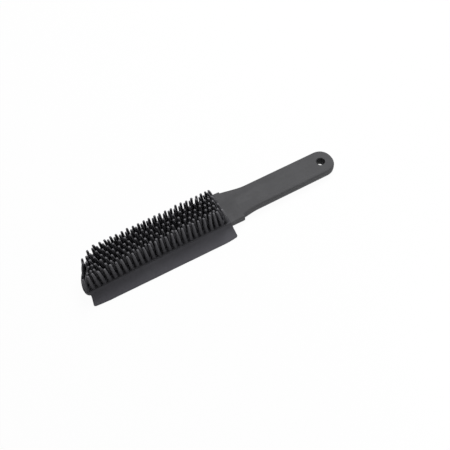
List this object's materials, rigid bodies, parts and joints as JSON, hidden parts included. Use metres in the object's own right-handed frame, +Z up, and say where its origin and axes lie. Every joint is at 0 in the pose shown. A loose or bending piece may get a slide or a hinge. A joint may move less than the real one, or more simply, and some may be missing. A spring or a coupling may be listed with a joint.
{
  "type": "rubber grooming brush",
  "caption": "Flat rubber grooming brush: slim straight grip with a hanging hole, flared neck, rows of tapered pins and a flexible squeegee blade along one side of the head.",
  "frame": {"origin": "on the table under the middle of the brush's box, as it lies on the blade's edge and the back lower edge of the head", "axes": "+X along the grip towards the hanging hole, +Y away from the blade, +Z up, the way the pins point"},
  "size_m": [0.2726, 0.0482, 0.0324],
  "materials": {
    "body_rubber": "matt moulded rubber",
    "core_plastic": "fine satin",
    "pin_rubber": "matt moulded rubber",
    "blade_rubber": "matt moulded rubber"
  },
  "bodies": {
    "brush": {"handle_body": "body_rubber", "core_plate": "core_plastic", "bristle_pad": "pin_rubber"},
    "blade": {"squeegee_blade": "blade_rubber"}
  },
  "joints": [
    {"name": "blade_flex", "type": "hinge", "parent": "brush", "child": "blade", "pos_m": [-0.06045, -0.01391, 0.008], "axis": [1, 0, 0], "range_deg": [-25, 25], "stiffness_Nm_per_rad": 0.4}
  ]
}
